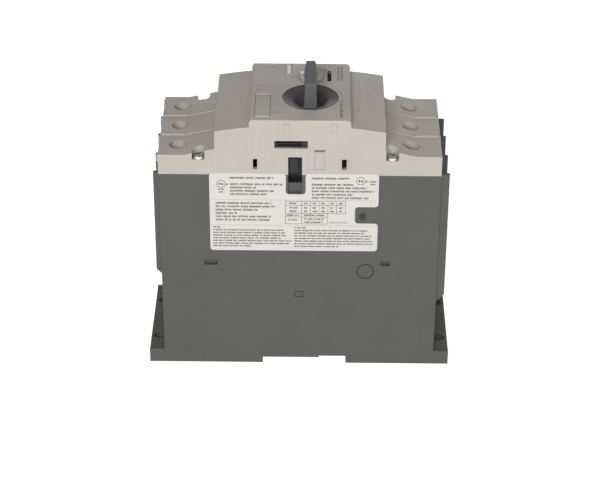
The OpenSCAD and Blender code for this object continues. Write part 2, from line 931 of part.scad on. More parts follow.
module handle_shaft() {
    color(steel) {
        translate([handle_at.x, handle_at.y, 0]) block([-2, -2, 96], [2, 2, 119.5]);
    }
}

module drive_cam() {
    color(black) {
        translate([handle_at.x, handle_at.y, 0]) {
            difference() {
                translate([0, 0, 97]) cylinder(r = 8, h = 3);
                block([-2, -2, 90], [2, 2, 105]);
                block([3, 3, 96], [9, 9, 101]);
            }
            translate([-6, 0, 93.5]) cylinder(r = 1.5, h = 3.5 + eps);
        }
    }
}

module setting_dial() {
    color(warm_grey) {
        translate([dial_at.x, dial_at.y, 0]) {
            difference() {
                union() {
                    translate([0, 0, 124]) cylinder(r = dial_r, h = dial_top_z - 124.4);
                    translate([0, 0, dial_top_z - 0.4 - eps]) {
                        cylinder(r1 = dial_r, r2 = dial_r - 0.4, h = 0.4 + eps);
                    }
                    translate([0, 0, 114]) cylinder(r = 2, h = 10 + eps);
                }
                block([-3.4, -0.55, dial_top_z - 1], [3.4, 0.55, dial_top_z + 1]);
            }
            translate([-3.9, 1.2, dial_top_z - 0.5]) cylinder(r1 = 0.9, r2 = 0.6, h = 0.9, $fn = 24);
        }
    }
}

module test_slider() {
    color(black) {
        block([12.3, 16.6, 124], [13.5, 19.6, plateau_z + 0.5]);
        block([11.6, 15.6, 122.6], [14.6, 20.6, 124 + eps]);
    }
}

module release_slider() {
    color(black) {
        difference() {
            block([-4.5, -half_w + 1.3, 102.4], [-0.8, -half_w + wall_t + 2.4, 109.4]);
            for (z = [103.6 : 1.3 : 108]) {
                block([-4, -half_w + 1, z], [-1.3, -half_w + 1.6, z + 0.5]);
            }
        }
    }
}

module din_clip() {
    color(black) {
        slab_y(-12, 12) {
            polygon([[-44, 0.4], [-14.6, 0.4], [-13.4, 1], [-13.4, 1.7], [-15.4, 2], [-17, 2.6], [-44, 2.6]]);
        }
        block([-44, -14, 1.2], [-19, 14, 2]);
    }
}

module trip_plunger() {
    color(steel) {
        translate([coil_x, 0, 0]) {
            translate([0, 0, 46]) cylinder(r = 2.8, h = 21);
            translate([0, 0, 67 - eps]) cylinder(r = 1.6, h = 6.2);
            translate([0, 0, 73]) cylinder(r = 3.7, h = 1.5);
        }
    }
}

module trip_bar() {
    color(cream) {
        bar_y(trip_axis, -half_w + wall_t + 0.5, half_w - wall_t - 0.5, 2);
        each_pole() {
            block([trip_axis.x, -1.5, trip_axis.y - 1], [trip_axis.x + 9, 1.5, trip_axis.y + 1]);
            block([trip_axis.x - 1, -1.5, trip_axis.y - 8], [trip_axis.x + 1, 1.5, trip_axis.y]);
        }
    }
}

module trip_slide_bar() {
    color(cream) {
        block([-34.5, -22.5, 72.3], [-31, 22.5, 75.3]);
        each_pole() {
            block([-36.6, -3, 72.3], [-34.4, 3, 75.3]);
        }
    }
}

module latch_lever() {
    color(steel) {
        difference() {
            union() {
                block([-17, -13, latch_axis.y - 1.5], [2, -11, latch_axis.y + 1.5]);
                bar_y(latch_axis, -13, -11, 3);
            }
            bar_y(latch_axis, -14, -10, thread_r + run_gap);
        }
    }
}

module toggle_lever() {
    color(steel) {
        difference() {
            union() {
                block([-10, -7.3, toggle_axis.y - 2], [5.6, -3.3, toggle_axis.y + 2]);
                bar_y(toggle_axis, -7.3, -3.3, 3.2);
                block([4.2, -9.3, toggle_axis.y - 2], [5.8, -1.3, toggle_axis.y + 2]);
                for (y = [-9.3, -2.7]) {
                    block([5.7, y, toggle_axis.y - 2], [12.5, y + 1.4, toggle_axis.y + 2]);
                }
            }
            bar_y(toggle_axis, -8, -2, thread_r + run_gap);
        }
    }
}

module contact_carrier() {
    color(cream) {
        difference() {
            union() {
                block([carrier_x[0], -half_w + 4.5, carrier_z[0]], [carrier_x[1], half_w - 4.5, carrier_z[1]]);
                translate([stem_at.x, stem_at.y, carrier_z[1] - 1]) cylinder(r = 2, h = 45.5);
                translate([stem_at.x, stem_at.y, 87.2]) cylinder(r = 3.8, h = 1.5);
            }
            each_pole() {
                block([0, -3.8, bridge_z[0] - 0.7], [20, 3.8, 38.5]);
                translate([stem_at.x, 0, carrier_z[0] + 1]) cylinder(r = 2.9, h = 6);
            }
        }
    }
}

module moving_contacts() {
    color(copper) {
        each_pole() {
            block([stem_at.x - 13.5, -3, bridge_z[0]], [stem_at.x + 13.5, 3, bridge_z[1]]);
        }
    }
}

module moving_contact_tips() {
    color(silver) {
        each_pole() {
            for (s = ENDS) {
                translate([stem_at.x + s * tip_reach, 0, bridge_z[1]]) cylinder(r = tip_r, h = 1.3);
            }
        }
    }
}

module contact_springs() {
    color(steel) {
        each_pole() {
            translate([stem_at.x, 0, carrier_z[0] + 1.4]) wire_helix(2.1, 0.35, 1, 4, 12, 6);
        }
    }
}

// A clamp screw with a cross recess, over the middle pole
module clamp_screw(x) {
    color(zinc) {
        translate([x, 0, 0]) {
            difference() {
                union() {
                    translate([0, 0, bar_z[1] + 0.3]) {
                        cylinder(r = clamp_shank_r, h = clamp_head_z[0] - bar_z[1]);
                    }
                    translate([0, 0, clamp_head_z[0]]) {
                        cylinder(r = clamp_head_r, h = clamp_head_z[1] - clamp_head_z[0]);
                    }
                }
                for (a = [0, 90]) {
                    rotate([0, 0, a + 20]) {
                        block([-2.4, -0.5, clamp_head_z[1] - 1.8], [2.4, 0.5, clamp_head_z[1] + 1]);
                    }
                }
            }
        }
    }
}

// A box clamp: the screw draws its jaw up against the bar
module clamp_cage(x) {
    color(zinc) {
        translate([x, 0, 0]) {
            difference() {
                block([-cage_half[0], -cage_half[1], cage_z[0]], [cage_half[0], cage_half[1], cage_z[1]]);
                block([-cage_half[0] - 1, cage_wall - cage_half[1], cage_z[0] + 1.5],
                      [cage_half[0] + 1, cage_half[1] - cage_wall, cage_z[1] - 2.5]);
                translate([0, 0, cage_z[1] - 4]) cylinder(r = clamp_shank_r + run_gap, h = 6);
            }
        }
    }
}

base_housing();
mid_housing();
front_cover();
cover_screws();
housing_screws();
rating_label();
marker_plate();
aux_socket();
slider_guide();
mechanism_frame();
mechanism_pins();
translate([0, POLES[0], 0]) line_busbar();  // line_busbar_1
translate([0, POLES[1], 0]) line_busbar();  // line_busbar_2
translate([0, POLES[2], 0]) line_busbar();  // line_busbar_3
translate([0, POLES[0], 0]) load_busbar();  // load_busbar_1
translate([0, POLES[1], 0]) load_busbar();  // load_busbar_2
translate([0, POLES[2], 0]) load_busbar();  // load_busbar_3
fixed_contact_tips();
arc_chutes();
trip_coils();
coil_bobbins();
coil_yokes();
bimetal_strips();
heater_windings();
plunger_springs();
main_spring();
din_clip_spring();
handle();
handle_shaft();
drive_cam();
lock_tab();
setting_dial();
test_slider();
release_slider();
din_clip();
translate([0, POLES[0], 0]) trip_plunger();  // trip_plunger_1
translate([0, POLES[1], 0]) trip_plunger();  // trip_plunger_2
translate([0, POLES[2], 0]) trip_plunger();  // trip_plunger_3
trip_bar();
trip_slide_bar();
latch_lever();
toggle_lever();
contact_carrier();
moving_contacts();
moving_contact_tips();
contact_springs();
translate([0, POLES[0], 0]) clamp_screw(clamp_x[1]);  // line_clamp_screw_1
translate([0, POLES[1], 0]) clamp_screw(clamp_x[1]);  // line_clamp_screw_2
translate([0, POLES[2], 0]) clamp_screw(clamp_x[1]);  // line_clamp_screw_3
translate([0, POLES[0], 0]) clamp_screw(clamp_x[0]);  // load_clamp_screw_1
translate([0, POLES[1], 0]) clamp_screw(clamp_x[0]);  // load_clamp_screw_2
translate([0, POLES[2], 0]) clamp_screw(clamp_x[0]);  // load_clamp_screw_3
translate([0, POLES[0], 0]) clamp_cage(clamp_x[1]);  // line_clamp_cage_1
translate([0, POLES[1], 0]) clamp_cage(clamp_x[1]);  // line_clamp_cage_2
translate([0, POLES[2], 0]) clamp_cage(clamp_x[1]);  // line_clamp_cage_3
translate([0, POLES[0], 0]) clamp_cage(clamp_x[0]);  // load_clamp_cage_1
translate([0, POLES[1], 0]) clamp_cage(clamp_x[0]);  // load_clamp_cage_2
translate([0, POLES[2], 0]) clamp_cage(clamp_x[0]);  // load_clamp_cage_3
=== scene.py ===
"""A manual rotary motor starter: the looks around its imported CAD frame."""

import json
import math
import random

import bmesh
import bpy
from mathutils import Matrix, Vector


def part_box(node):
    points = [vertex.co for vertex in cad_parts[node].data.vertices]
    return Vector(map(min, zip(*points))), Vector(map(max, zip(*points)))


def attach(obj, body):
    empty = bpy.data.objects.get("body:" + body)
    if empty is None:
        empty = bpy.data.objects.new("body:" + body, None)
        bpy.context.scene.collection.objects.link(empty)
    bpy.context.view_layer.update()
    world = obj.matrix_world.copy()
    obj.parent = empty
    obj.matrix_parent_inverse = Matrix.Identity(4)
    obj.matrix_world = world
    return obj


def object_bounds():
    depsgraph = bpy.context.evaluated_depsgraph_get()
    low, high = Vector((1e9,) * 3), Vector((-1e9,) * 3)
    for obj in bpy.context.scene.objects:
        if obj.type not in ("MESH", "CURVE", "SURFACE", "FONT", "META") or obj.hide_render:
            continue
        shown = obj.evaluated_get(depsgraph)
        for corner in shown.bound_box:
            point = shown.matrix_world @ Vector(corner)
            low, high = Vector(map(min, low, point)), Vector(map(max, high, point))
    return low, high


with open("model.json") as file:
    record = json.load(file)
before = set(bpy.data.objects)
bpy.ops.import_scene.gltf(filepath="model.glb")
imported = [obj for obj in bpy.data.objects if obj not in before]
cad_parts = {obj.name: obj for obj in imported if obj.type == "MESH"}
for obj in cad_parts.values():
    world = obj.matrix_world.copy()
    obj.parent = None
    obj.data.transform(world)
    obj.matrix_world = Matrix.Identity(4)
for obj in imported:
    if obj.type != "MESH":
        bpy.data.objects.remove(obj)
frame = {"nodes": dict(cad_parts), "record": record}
cad_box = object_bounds()

MM = 0.001

# Places on the part, in millimetres: x to the right, y away from the camera, z up
NEAR_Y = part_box("mid_housing")[0].y / MM  # the housing's near face
LABEL_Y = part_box("rating_label")[0].y / MM  # the printed face of the label
PLATEAU_Z = 129.3  # the cover's top, around the handle's dish
DIAL = (4.5, 15.5)  # the axis of the setting dial
DIAL_POINTER = (0.6, 16.7)  # the pale end of the dial's pointer, at rest
HANDLE_DOT = (4.5, -16.77, 138.9)  # on the near end of the handle's grip
SCREWS = [(x, y) for x in (-45, 41) for y in (-24.7, 24.7)]  # the four cover screws
SCREW_RECESS_Z = 109.98  # the bottom of the painted-shade crosses in their heads
SHOULDER_HOLES = [(33.1, y) for y in (12.5, 5.1, -7.1, -14.6)]
SHOULDER_HOLE_Z = 123.6  # the lower side of the painted-shade discs in these holes
KNOCKOUT_RING = (30.2, 51.2)  # x and z of the round knock-out on the near face
TEST_SQUARE = ((-2.15, 36.95), (1.75, 40.05))  # x and z of opposite corners of the small groove below it
CLIP_HOLE = (28.3, 80.5)  # x and z of the blind hole in the label's notch


def mm(*values):
    """A point given in millimetres, in metres."""
    return Vector([v * MM for v in values])


def srgb(code):
    """A colour written as six hex digits, as linear red, green and blue."""
    parts = [int(code[i:i + 2], 16) / 255 for i in (0, 2, 4)]
    return tuple(p / 12.92 if p <= 0.04045 else ((p + 0.055) / 1.055) ** 2.4 for p in parts)


# ---------------------------------------------------------------- camera

CAMERA = {
    "azimuth": 0.40,
    "elevation": 31.784,
    "distance": 0.93779,
    "lens": 119.874,
    "roll": 0.297,
    "target": mm(0.054, 0, 51.08),
}


def towards(azimuth, elevation):
    """The direction from the part to a camera or lamp, for angles in radians."""
    return Vector((math.sin(azimuth) * math.cos(elevation), -math.cos(azimuth) * math.cos(elevation),
                   math.sin(elevation)))


def add_camera():
    """The camera at the photograph's angle; it points at the target and is rolled about its own axis."""
    az, el, roll = (math.radians(CAMERA[k]) for k in ("azimuth", "elevation", "roll"))
    back = towards(az, el)
    level = Vector((math.cos(az), math.sin(az), 0))
    upright = back.cross(level)
    right = level * math.cos(roll) + upright * math.sin(roll)
    up = back.cross(right)
    data = bpy.data.cameras.new("camera")
    data.sensor_width = 36
    data.lens = CAMERA["lens"]
    data.clip_start = 0.05
    camera = bpy.data.objects.new("camera", data)
    bpy.context.scene.collection.objects.link(camera)
    place = Matrix((right, up, back)).transposed().to_4x4()
    place.translation = CAMERA["target"] + back * CAMERA["distance"]
    camera.matrix_world = place
    bpy.context.scene.camera = camera


# ---------------------------------------------------------------- materials

class Shader:
    """A node material with short calls for the nodes that it needs."""

    def __init__(self, name):
        self.material = bpy.data.materials.new(name)
        self.material.use_nodes = True
        self.tree = self.material.node_tree
        self.bsdf = self.tree.nodes["Principled BSDF"]
        self.place = self.node("ShaderNodeTexCoord").outputs["Object"]

    def node(self, kind, **settings):
        """Adds a node and sets its own options."""
        made = self.tree.nodes.new(kind)
        for key, value in settings.items():
            setattr(made, key, value)
        return made

    def put(self, socket, value):
        """Links an output to a socket, or sets the socket's own value."""
        if isinstance(value, bpy.types.NodeSocket):
            self.tree.links.new(value, socket)
        else:
            socket.default_value = value

    def mapped(self, stretch):
        """The object's coordinates, stretched by three factors."""
        made = self.node("ShaderNodeMapping")
        self.put(made.inputs["Vector"], self.place)
        made.inputs["Scale"].default_value = stretch
        return made.outputs["Vector"]

    def noise(self, scale, detail=3.0, rough=0.5, vector=None):
        """Noise whose features are about 1 / scale metres wide."""
        made = self.node("ShaderNodeTexNoise")
        self.put(made.inputs["Vector"], vector or self.place)
        made.inputs["Scale"].default_value = scale
        made.inputs["Detail"].default_value = detail
        made.inputs["Roughness"].default_value = rough
        return made.outputs["Fac"]

    def grains(self, scale):
        """The distance to the nearest of many scattered points."""
        made = self.node("ShaderNodeTexVoronoi")
        self.put(made.inputs["Vector"], self.place)
        made.inputs["Scale"].default_value = scale
        return made.outputs["Distance"]

    def ramp(self, value, low, high, out_low=0.0, out_high=1.0):
        """A number stretched from one range to another, and clamped."""
        made = self.node("ShaderNodeMapRange")
        self.put(made.inputs["Value"], value)
        made.inputs["From Min"].default_value = low
        made.inputs["From Max"].default_value = high
        made.inputs["To Min"].default_value = out_low
        made.inputs["To Max"].default_value = out_high
        return made.outputs["Result"]

    def math(self, operation, a, b):
        """The sum, difference or product of two numbers."""
        made = self.node("ShaderNodeMath", operation=operation)
        self.put(made.inputs[0], a)
        self.put(made.inputs[1], b)
        return made.outputs[0]

    def mix(self, factor, a, b):
        """A colour between two colours."""
        made = self.node("ShaderNodeMix", data_type="RGBA")
        self.put(made.inputs["Factor"], factor)
        self.put(made.inputs["A"], a if isinstance(a, bpy.types.NodeSocket) else (*a, 1))
        self.put(made.inputs["B"], b if isinstance(b, bpy.types.NodeSocket) else (*b, 1))
        return made.outputs["Result"]

    def edges(self, radius):
        """1 along sharp outer and inner edges, 0 on flat stretches."""
        bevel = self.node("ShaderNodeBevel", samples=4)
        bevel.inputs["Radius"].default_value = radius
        normal = self.node("ShaderNodeNewGeometry").outputs["Normal"]
        dot = self.node("ShaderNodeVectorMath", operation="DOT_PRODUCT")
        self.put(dot.inputs[0], bevel.outputs["Normal"])
        self.put(dot.inputs[1], normal)
        bend = self.math("SUBTRACT", 1.0, dot.outputs["Value"])
        return self.ramp(bend, 0.02, 0.25)

    def bump(self, height, distance, strength=1.0, normal=None):
        """A normal that follows a height; it can start from another normal."""
        made = self.node("ShaderNodeBump")
        made.inputs["Strength"].default_value = strength
        made.inputs["Distance"].default_value = distance
        self.put(made.inputs["Height"], height)
        if normal:
            self.put(made.inputs["Normal"], normal)
        return made.outputs["Normal"]


def shade(color, factor):
    """The colour made lighter or darker."""
    return tuple(min(1.0, c * factor) for c in color)


def moulded_plastic(name, code, rough, grain=0.00001, wear=0.35, worn=1.5, specular=0.4):
    """Moulded plastic: fine erosion texture, faint flow marks and rubbed edges.

    Grain is the texture's depth in metres, wear how much of an edge is rubbed,
    and worn how much lighter a rubbed edge is.
    """
    s = Shader(name)
    spread = 0.05
    color = srgb(code)
    clouds = s.noise(55, 4)
    flow = s.noise(1, 3, vector=s.mapped((420, 420, 38)))
    tone = s.ramp(s.math("ADD", clouds, s.math("MULTIPLY", flow, 0.35)), 0.45, 0.9)
    base = s.mix(tone, shade(color, 1 - spread), shade(color, 1 + spread))
    specks = s.ramp(s.noise(2600, 2), 0.60, 0.74)
    base = s.mix(s.math("MULTIPLY", specks, 0.18), base, shade(color, 0.72))
    edge = s.edges(0.0005)
    patchy = s.ramp(s.noise(240, 3), 0.35, 0.65)
    rubbed = s.math("MULTIPLY", s.math("MULTIPLY", edge, patchy), wear)
    s.put(s.bsdf.inputs["Base Color"], s.mix(rubbed, base, shade(color, worn)))
    s.put(s.bsdf.inputs["Roughness"], s.ramp(s.noise(900, 3), 0.3, 0.7, rough - 0.06, rough + 0.08))
    s.bsdf.inputs["Specular IOR Level"].default_value = specular
    pits = s.math("ADD", s.grains(3600), s.math("MULTIPLY", s.noise(5200, 2), 0.8))
    s.put(s.bsdf.inputs["Normal"], s.bump(pits, grain, 0.8, s.bump(s.noise(60, 2), 0.00006)))
    return s.material


def metal(name, code, rough, brushed=(1, 1, 1), tarnish=None):
    """Metal with a brushed or rolled surface, patches of haze and bright edges."""
    s = Shader(name)
    spread = 0.08
    color = srgb(code)
    haze = s.ramp(s.noise(160, 4), 0.35, 0.7)
    base = s.mix(haze, shade(color, 1 - spread), shade(color, 1 + spread))
    if tarnish:
        spots = s.ramp(s.noise(420, 5, 0.65), 0.56, 0.72, 0, 0.55)
        base = s.mix(spots, base, srgb(tarnish))
    edge = s.math("MULTIPLY", s.edges(0.0003), 0.5)
    s.put(s.bsdf.inputs["Base Color"], s.mix(edge, base, shade(color, 1.3)))
    s.bsdf.inputs["Metallic"].default_value = 1.0
    lines = s.noise(2400, 3, vector=s.mapped(brushed))
    s.put(s.bsdf.inputs["Roughness"], s.ramp(lines, 0.25, 0.75, rough - 0.08, rough + 0.12))
    s.put(s.bsdf.inputs["Normal"], s.bump(lines, 0.000004))
    return s.material


def label_film(name, code):
    """Printed white film: faint paper-like mottling and a soft gloss."""
    s = Shader(name)
    color = srgb(code)
    fibres = s.noise(1, 3, vector=s.mapped((900, 900, 2600)))
    base = s.mix(s.ramp(fibres, 0.3, 0.7), shade(color, 0.965), shade(color, 1.02))
    smudge = s.ramp(s.noise(70, 4), 0.58, 0.78, 0, 0.10)
    s.put(s.bsdf.inputs["Base Color"], s.mix(smudge, base, srgb("969289")))
    s.put(s.bsdf.inputs["Roughness"], s.ramp(s.noise(300, 3), 0.3, 0.7, 0.38, 0.52))
    s.put(s.bsdf.inputs["Normal"], s.bump(s.noise(1400, 2), 0.000006))
    return s.material


def printing_ink(name, code):
    """Ink that covers a little unevenly."""
    s = Shader(name)
    color = srgb(code)
    thin = s.ramp(s.noise(3200, 3), 0.45, 0.75, 0, 0.4)
    s.put(s.bsdf.inputs["Base Color"], s.mix(thin, color, shade(color, 2.2)))
    s.put(s.bsdf.inputs["Roughness"], s.ramp(s.noise(800, 2), 0.3, 0.7, 0.45, 0.6))
    s.put(s.bsdf.inputs["Normal"], s.bump(s.noise(4000, 2), 0.000002))
    return s.material


MATERIALS = {
    "cover_plastic": moulded_plastic("cover_plastic", "959088", 0.52, worn=1.35),
    "dark_plastic": moulded_plastic("dark_plastic", "3f3f3d", 0.5, worn=1.7),
    "base_plastic": moulded_plastic("base_plastic", "3f3f3d", 0.5, worn=1.7),
    "handle_plastic": moulded_plastic("handle_plastic", "3a3a39", 0.42, worn=2.0, wear=0.6, specular=0.55),
    "tab_plastic": moulded_plastic("tab_plastic", "3f3f3e", 0.45, worn=1.8),
    "black_plastic": moulded_plastic("black_plastic", "151516", 0.38, worn=2.0, wear=0.4),
    "cream_plastic": moulded_plastic("cream_plastic", "b0a88d", 0.55),
    # white_paint is also the painted highlight on the sloping bar beside the setting dial
    "white_paint": moulded_plastic("white_paint", "bdbbb6", 0.4, grain=0.000004, worn=1.0),
    "label_film": label_film("label_film", "a9a8a3"),
    # ink is the label's print, and also painted shade: the crosses in the screw heads, the discs in the
    # shoulder holes, and the lines and disc in the near face's grooves and hole
    "ink": printing_ink("ink", "161617"),
    "grey_ink": printing_ink("grey_ink", "77777a"),
    "mark_ink": printing_ink("mark_ink", "5e5a54"),
    "zinc_steel": metal("zinc_steel", "d6d6d2", 0.24, (1, 1, 0.2)),
    "plain_steel": metal("plain_steel", "a9abad", 0.36, (0.1, 1, 1)),
    "spring_steel": metal("spring_steel", "8f9092", 0.3),
    "copper": metal("copper", "c98a62", 0.35, (0.1, 1, 1), tarnish="6e4733"),
    "silver_alloy": metal("silver_alloy", "d5d5d0", 0.3),
    "bimetal": metal("bimetal", "c4a868", 0.32, (1, 1, 0.1), tarnish="7d6a42"),
}


# ---------------------------------------------------------------- CAD nodes

# How wide the rounding of a visible node's edges is, in millimetres
BEVELS = {
    "front_cover": 0.45, "mid_housing": 0.35, "base_housing": 0.35, "handle": 0.25,
    "lock_tab": 0.2, "marker_plate": 0.15, "setting_dial": 0.15, "release_slider": 0.15,
    "test_slider": 0.15, "cover_screws": 0.1, "din_clip": 0.3,
}


def soften(thing, width):
    """Rounds a CAD node's sharp edges with modifiers only."""
    weld = thing.modifiers.new("weld", "WELD")
    weld.merge_threshold = 0.000001
    flat = thing.modifiers.new("flat", "DECIMATE")
    flat.decimate_type = "DISSOLVE"
    flat.angle_limit = math.radians(0.5)
    bevel = thing.modifiers.new("bevel", "BEVEL")
    bevel.width = width * MM
    bevel.segments = 2
    bevel.limit_method = "ANGLE"
    bevel.angle_limit = math.radians(38)
    bevel.use_clamp_overlap = True
    bevel.harden_normals = False
    normals = thing.modifiers.new("normals", "WEIGHTED_NORMAL")
    normals.keep_sharp = False
    normals.weight = 80


def finish_cad_nodes():
    """Gives every CAD node its material, and softens the visible ones."""
    slots = {row["node"]: row["material_slot"] for row in frame["record"]["subparts"]}
    for name, thing in frame["nodes"].items():
        thing.data.materials.clear()
        thing.data.materials.append(MATERIALS[slots[name]])
        if name in BEVELS:
            soften(thing, BEVELS[name])


# ---------------------------------------------------------------- mesh helpers

def new_piece(name, mesh_maker, material, body="root"):
    """Makes one piece from a bmesh, gives it its material and sets what it rides on."""
    mesh = bpy.data.meshes.new(name)
    work = bmesh.new()
    mesh_maker(work)
    bmesh.ops.recalc_face_normals(work, faces=work.faces)
    work.to_mesh(mesh)
    work.free()
    piece = bpy.data.objects.new(name, mesh)
    bpy.context.scene.collection.objects.link(piece)
    mesh.materials.append(MATERIALS[material])
    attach(piece, body)


def add_block(work, low, high):
    """A box between two corners, in millimetres."""
    corners = [work.verts.new(mm(x, y, z)) for x in (low[0], high[0]) for y in (low[1], high[1])
               for z in (low[2], high[2])]
    for face in ((0, 1, 3, 2), (4, 6, 7, 5), (0, 4, 5, 1), (2, 3, 7, 6), (0, 2, 6, 4), (1, 5, 7, 3)):
        work.faces.new([corners[i] for i in face])


def add_prism(work, outline, offset):
    """A closed prism: an outline of points in millimetres, and the step to its other end."""
    near = [work.verts.new(mm(*p)) for p in outline]
    far = [work.verts.new(mm(*(Vector(p) + Vector(offset)))) for p in outline]
    work.faces.new(near)
    work.faces.new(far[::-1])
    join_rows(work, near, far)


def join_rows(work, row, other):
    """Four-sided faces between two closed rows of the same number of vertices."""
    for i in range(len(row)):
        work.faces.new((row[i - 1], row[i], other[i], other[i - 1]))


def circle(radius, sides):
    """The points of a circle around 0, 0."""
    turns = [2 * math.pi * k / sides for k in range(sides)]
    return [(radius * math.cos(t), radius * math.sin(t)) for t in turns]


def add_ring(work, middle, radius, thick, depth):
    """A flat ring that faces the camera's side, as short prisms; middle is on its near face."""
    x, y, z = middle
    sides = 40
    outer, inner = circle(radius, sides), circle(radius - thick, sides)
    for i in range(sides):
        corners = (outer[i - 1], outer[i], inner[i], inner[i - 1])
        add_prism(work, [(x + a, y, z + b) for a, b in corners], (0, depth, 0))


# ---------------------------------------------------------------- rating label print

INK_RISE = 0.02
INK_SINK = 0.01


class Print:
    """Collects ink strokes on the label's face; places are x and z in millimetres."""

    def __init__(self, work, seed):
        self.work = work
        self.random = random.Random(seed)

    def stroke(self, x0, z0, x1, z1):
        """A straight upright or level stroke between two corners."""
        add_block(self.work, (x0, LABEL_Y - INK_RISE, z0), (x1, LABEL_Y + INK_SINK, z1))

    def words(self, x0, x1, z, height, width):
        """A line that looks like small print but says nothing, from x0 to x1.

        A letter is two uprights, the second one sometimes shorter, and a crossbar.
        """
        x = x0
        while x < x1 - width:
            letters = self.random.randint(2, 9)
            for _ in range(letters):
                if x > x1 - width:
                    break
                step = width * self.random.uniform(0.75, 1.1)
                tall = height * self.random.choice((1, 1, 1, 0.92))
                cut = self.random.choice((0, 0, 0.32))
                solid = step - 0.2 * width
                self.stroke(x, z, x + solid * 0.36, z + tall)
                self.stroke(x + solid * 0.58, z + cut * tall, x + solid, z + tall)
                level = self.random.choice((0.0, 0.42, 0.8))
                self.stroke(x + solid * 0.3, z + level * tall, x + solid * 0.64, z + (level + 0.2) * tall)
                x += step
            x += width * 0.75

    def lines(self, x0, ends, top, pitch, height, width):
        """Lines of words below each other, which all start at x0."""
        for i, x1 in enumerate(ends):
            self.words(x0, x1, top - i * pitch - height / 2, height, width)

    def ring(self, x, z, radius, thick):
        """A round printed ring."""
        add_ring(self.work, (x, LABEL_Y - INK_RISE, z), radius, thick, INK_RISE + INK_SINK)

    def grid(self, columns, rows):
        """A table's rules."""
        thick = 0.16
        for x in columns:
            self.stroke(x - thick / 2, rows[-1], x + thick / 2, rows[0])
        for z in rows:
            self.stroke(columns[0], z - thick / 2, columns[-1], z + thick / 2)


def bold_print(work):
    """The larger print in the label's upper half."""
    p = Print(work, 11)
    p.words(-31.3, -11.0, 99.6, 0.95, 0.78)
    p.lines(-31.1, (-7.2, -19.4, -11.2, -14.6), top=96.8, pitch=1.72, height=0.95, width=0.72)
    p.words(5.4, 22.6, 99.6, 0.95, 0.78)
    p.lines(5.4, (24.8, 30.8, 33.9, 24.2, 31.1), top=96.9, pitch=1.72, height=0.9, width=0.7)
    p.lines(-37.7, (-12.0, -10.8, -18.6, -27.6, -12.3, -12.6), top=87.0, pitch=1.74, height=0.92, width=0.72)
    # Plain rings with two bars in them, in place of the approval marks
    for x, z in ((-35.1, 96.9), (27.2, 98.9)):
        p.ring(x, z, 2.0, 0.22)
        p.stroke(x - 0.9, z - 0.55, x - 0.35, z + 0.6)
        p.stroke(x + 0.2, z - 0.6, x + 0.9, z + 0.4)
        p.words(x + 2.2, x + 3.4, z - 0.6, 0.8, 0.5)
    p.words(30.9, 34.3, 98.2, 0.7, 0.5)
    p.words(31.4, 34.0, 96.8, 0.7, 0.5)
    p.words(-36.6, -33.4, 93.8, 0.6, 0.5)
    p.words(-36.2, -33.8, 92.4, 0.6, 0.5)


def table_print(work):
    """The table: seven upright rules in its upper part, three in its lower part, and print between them."""
    p = Print(work, 23)
    columns = (-6.4, 0.9, 4.85, 8.7, 12.7, 16.6, 20.7)
    p.grid(columns, (88.2, 86.1, 81.9))
    p.grid((-6.4, 0.9, 12.5), (81.9, 80.0, 76.4))
    for z in (86.7, 84.4, 82.6):
        p.words(-4.6, -0.6, z, 0.85, 0.6)
        for x in columns[1:-1]:
            p.words(x + 1.1, x + 3.1, z, 0.85, 0.55)
    p.words(-5.6, 0.2, 80.5, 0.85, 0.62)
    p.words(2.0, 11.4, 80.5, 0.85, 0.66)
    p.words(-5.0, -0.9, 78.0, 0.85, 0.6)
    for z in (78.5, 76.9):
        p.words(2.2, 11.0, z, 0.8, 0.55)


def fine_print(work):
    """The two columns of small print in the label's lower part."""
    p = Print(work, 37)
    columns = ((-39.0, -35.6, (-7.0, -6.3, -6.0, -7.6, -3.4, -4.4, -21.5)),
               (-2.3, 3.4, (31.0, 29.4, 33.0, 32.5, 33.0, 33.8, 18.3)))
    for left, heading_end, ends in columns:
        p.words(left, heading_end, 74.0, 0.75, 0.5)
        p.lines(left, ends, top=72.9, pitch=1.41, height=0.72, width=0.5)


def rule_print(work):
    """The two grey rules across the label, and the grey word beside the table."""
    p = Print(work, 5)
    p.stroke(-39.4, 88.74, 34.4, 88.86)
    p.stroke(-40.2, 75.44, 34.8, 75.56)
    p.words(13.4, 21.9, 76.7, 0.9, 0.7)


def add_label_print():
    new_piece("label_bold_print", bold_print, "ink")
    new_piece("label_table_print", table_print, "ink")
    new_piece("label_fine_print", fine_print, "ink")
    new_piece("label_rules", rule_print, "grey_ink")


# ---------------------------------------------------------------- marks on the cover

MARK_SINK = 0.05
MARK_RISE = 0.03


def raised_dashes(work, x0, x1, y_from, y_to, seed, letter):
    """A row of short dashes along Y on the plateau, like a raised caption that says nothing."""
    pick = random.Random(seed)
    z0, z1 = PLATEAU_Z - MARK_SINK, PLATEAU_Z + MARK_RISE
    y = y_from
    while y > y_to + letter:
        for _ in range(pick.randint(3, 7)):
            if y < y_to + letter:
                break
            step = letter * pick.uniform(0.8, 1.1)
            tall = (x1 - x0) * pick.choice((1, 1, 0.75))
            add_block(work, (x0, y - step * 0.3, z0), (x0 + tall, y, z1))
            end = x0 + tall * pick.choice((1, 0.6))
            add_block(work, (x0, y - step * 0.78, z0), (end, y - step * 0.5, z1))
            cross = x0 + tall * pick.choice((0.05, 0.45, 0.75))
            add_block(work, (cross, y - step * 0.6, z0), (cross + tall * 0.2, y - step * 0.25, z1))
            y -= step
        y -= letter * 0.7


def raised_strokes(work, lines, thick=0.32):
    """Short straight strokes on the plateau, each from one x, y place to another."""
    for x0, y0, x1, y1 in lines:
        along = Vector((x1 - x0, y1 - y0, 0)).normalized()
        side = Vector((-along.y, along.x, 0)) * thick / 2
        start, end = (Vector((x, y, PLATEAU_Z - MARK_SINK)) for x, y in ((x0, y0), (x1, y1)))
        outline = [start - side, end - side, end + side, start + side]
        add_prism(work, outline, (0, 0, MARK_SINK + MARK_RISE))


